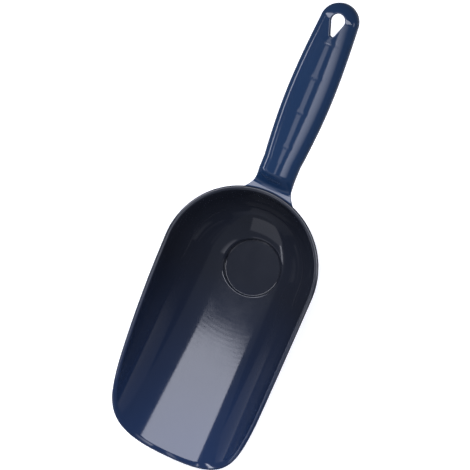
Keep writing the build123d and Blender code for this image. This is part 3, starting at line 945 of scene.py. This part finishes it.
class FEEDSCOOP_OT_handle(Operator):
    """Crowned handle, hollow below, with the wall round its hang hole"""
    bl_idname = "feed_scoop.handle"
    bl_label = "Handle and hang hole"

    def execute(self, context):
        s = figure()
        build("handle", handle_shell_sheets(s), ["handle_shell"], "handle_gloss")
        build("eye", hang_eye_sheets(s), ["hang_eye"], "handle_gloss")
        return {"FINISHED"}


class FEEDSCOOP_OT_ribs(Operator):
    """Finish on the ribs under the handle, which keep their solids' shape"""
    bl_idname = "feed_scoop.ribs"
    bl_label = "Ribs"

    def execute(self, context):
        for node in ("spine_rib", "cross_ribs"):
            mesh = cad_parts[node].data
            mesh.materials.clear()
            mesh.materials.append(finish_for("handle_gloss"))
        return {"FINISHED"}


# Softboxes, in metres: name, one corner, the edge from it across, the edge from it down, how bright
# their face is beside white, and the spread of their light in degrees. Each is a true rectangle as
# long and as wide as its two edges, on their plane and about their middle
SOFTBOXES = (
    # Leans over the handle's end, with its top edge overhead
    ("leaning_softbox", (0.010, -0.93, 2.0), (-0.018, 2.24, -0.69), (0.28, -0.30, -1.0), 5.4, 180),
    # Level, to the near side
    ("level_softbox", (-0.40, -0.47, 3.0), (0, -2.9, 0), (-1.60, 0, 0), 1.0, 88),
    # A strip that comes down towards the lip, and a dim panel beyond it
    ("sloping_strip", (-0.38, 0.37, 3.0), (0, 0.32, 0), (-1.3, -0.09, -1.3), 1.6, 180),
    ("far_panel", (-1.90, -0.45, 1.35), (0, 2.0, 0), (-0.8, 0, -1.0), 0.45, 180),
    # Two narrow strips low on the far side
    ("low_strip", (-0.12, 2.65, 1.20), (-2.9, 0, 0), (0, 0.10, -0.26), 7.0, 180),
    ("high_strip", (-0.62, 2.20, 2.02), (-2.4, 0, 0), (0, 0.12, -0.10), 3.5, 180),
    # A small card low on the near side
    ("near_card", (0.20, -2.35, 0.70), (0.6, 0, 0), (0, 0.15, 0.50), 2.0, 180),
)


def soft_light(name, corner, across, down, bright, spread):
    """A rectangular lamp given by a corner and two edges, shining towards the scoop."""
    corner, across, down = Vector(corner), Vector(across), Vector(down)
    centre = corner + (across + down) / 2
    back = across.cross(down).normalized()
    if back.dot(centre) < 0:
        back = -back
    side = across.normalized()
    lamp = bpy.data.lights.new(name, "AREA")
    lamp.shape = "RECTANGLE"
    lamp.size, lamp.size_y = across.length, down.length
    lamp.color = linear("#F0F2FF")[:3]
    lamp.energy = 4 * across.length * down.length * bright
    lamp.spread = radians(spread)
    body = bpy.data.objects.new(name, lamp)
    body.visible_camera = False
    turn = Matrix((side, back.cross(side), back)).transposed().to_4x4()
    body.matrix_world = Matrix.Translation(centre) @ turn
    bpy.context.scene.collection.objects.link(body)


class FEEDSCOOP_OT_stage(Operator):
    """Pale floor, soft studio light and the camera"""
    bl_idname = "feed_scoop.stage"
    bl_label = "Floor, light and camera"

    def execute(self, context):
        scene = context.scene
        # The floor is a hair below the foot, so that the two faces never coincide
        half, low = 3.0, -0.0002
        floor_mesh = bpy.data.meshes.new("floor")
        corners = [(-half, -half, low), (half, -half, low), (half, half, low), (-half, half, low)]
        floor_mesh.from_pydata(corners, [], [(0, 1, 2, 3)])
        floor = bpy.data.objects.new("floor", floor_mesh)
        paint = bpy.data.materials.new("matt_painted_board")
        paint.use_nodes = True
        shader = paint.node_tree.nodes["Principled BSDF"]
        shader.inputs["Base Color"].default_value = linear(scene.feed_scoop_colours.floor)
        shader.inputs["Roughness"].default_value = 0.9
        # The board is lit from below as well, as a light table is, so that shadows stay faint
        shader.inputs["Emission Color"].default_value = (1, 1, 1, 1)
        shader.inputs["Emission Strength"].default_value = 0.45
        floor_mesh.materials.append(paint)
        scene.collection.objects.link(floor)
        floor.visible_glossy = False

        for softbox in SOFTBOXES:
            soft_light(*softbox)

        world = scene.world or bpy.data.worlds.new("studio")
        scene.world = world
        world.use_nodes = True
        tree = world.node_tree
        tree.nodes.clear()
        sky = add_node(tree, "ShaderNodeBackground", {"Color": (0.8, 0.86, 1.0, 1), "Strength": 0.2})
        add_node(tree, "ShaderNodeOutputWorld", {"Surface": sky.outputs[0]})
        scene.view_settings.view_transform = "Standard"

        # Camera nearly straight above. It leans to the near side and a little towards the handle,
        # and is rolled so that the handle points up and to the right
        near, ahead, roll, reach = radians(9.3825), radians(2.8504), radians(23.5026), 1.7
        aim = Vector((0.02, 0, 0.03))
        # Focal length in millimetres, and the two shifts as shares of the sensor's width
        focal, aside, above = 204.35898, -0.048674468, 0.008057447
        look_back = Vector((sin(ahead) * cos(near), -sin(near), cos(near) * cos(ahead))).normalized()
        up = (Vector((1, 0, 0)) - look_back * look_back.x).normalized()
        right = up.cross(look_back)
        across, upward = right * cos(roll) + up * sin(roll), up * cos(roll) - right * sin(roll)
        lens = bpy.data.cameras.new("camera")
        lens.sensor_width = 36.0
        lens.lens = focal
        lens.shift_x, lens.shift_y = aside, above
        lens.clip_end = 20
        camera = bpy.data.objects.new("camera", lens)
        turn = Matrix((across, upward, look_back)).transposed().to_4x4()
        camera.matrix_world = Matrix.Translation(aim + look_back * reach) @ turn
        scene.collection.objects.link(camera)
        scene.camera = camera
        return {"FINISHED"}


class FEEDSCOOP_PT_panel(Panel):
    """Lists the scoop's pieces, sizes and colours"""
    bl_label = "Feed scoop"
    bl_idname = "FEEDSCOOP_PT_panel"
    bl_space_type = "VIEW_3D"
    bl_region_type = "UI"
    bl_category = "Feed scoop"

    def draw(self, context):
        for operator in OPERATORS:
            self.layout.operator(operator.bl_idname)
        for group in (context.scene.feed_scoop_sizes, context.scene.feed_scoop_colours):
            column = self.layout.column()
            for name in type(group).__annotations__:
                column.prop(group, name)


OPERATORS = (FEEDSCOOP_OT_bowl, FEEDSCOOP_OT_rim, FEEDSCOOP_OT_foot, FEEDSCOOP_OT_neck,
             FEEDSCOOP_OT_handle, FEEDSCOOP_OT_ribs, FEEDSCOOP_OT_stage)
CLASSES = (FeedScoopSizes, FeedScoopColours, *OPERATORS, FEEDSCOOP_PT_panel)


def register():
    for item in CLASSES:
        bpy.utils.register_class(item)
    bpy.types.Scene.feed_scoop_sizes = PointerProperty(type=FeedScoopSizes)
    bpy.types.Scene.feed_scoop_colours = PointerProperty(type=FeedScoopColours)


def unregister():
    del bpy.types.Scene.feed_scoop_colours
    del bpy.types.Scene.feed_scoop_sizes
    for item in reversed(CLASSES):
        bpy.utils.unregister_class(item)


def main():
    register()
    bpy.ops.feed_scoop.stage()
    bpy.ops.feed_scoop.bowl()
    bpy.ops.feed_scoop.rim()
    bpy.ops.feed_scoop.foot()
    bpy.ops.feed_scoop.neck()
    bpy.ops.feed_scoop.handle()
    bpy.ops.feed_scoop.ribs()


if __name__ == "__main__":
    main()
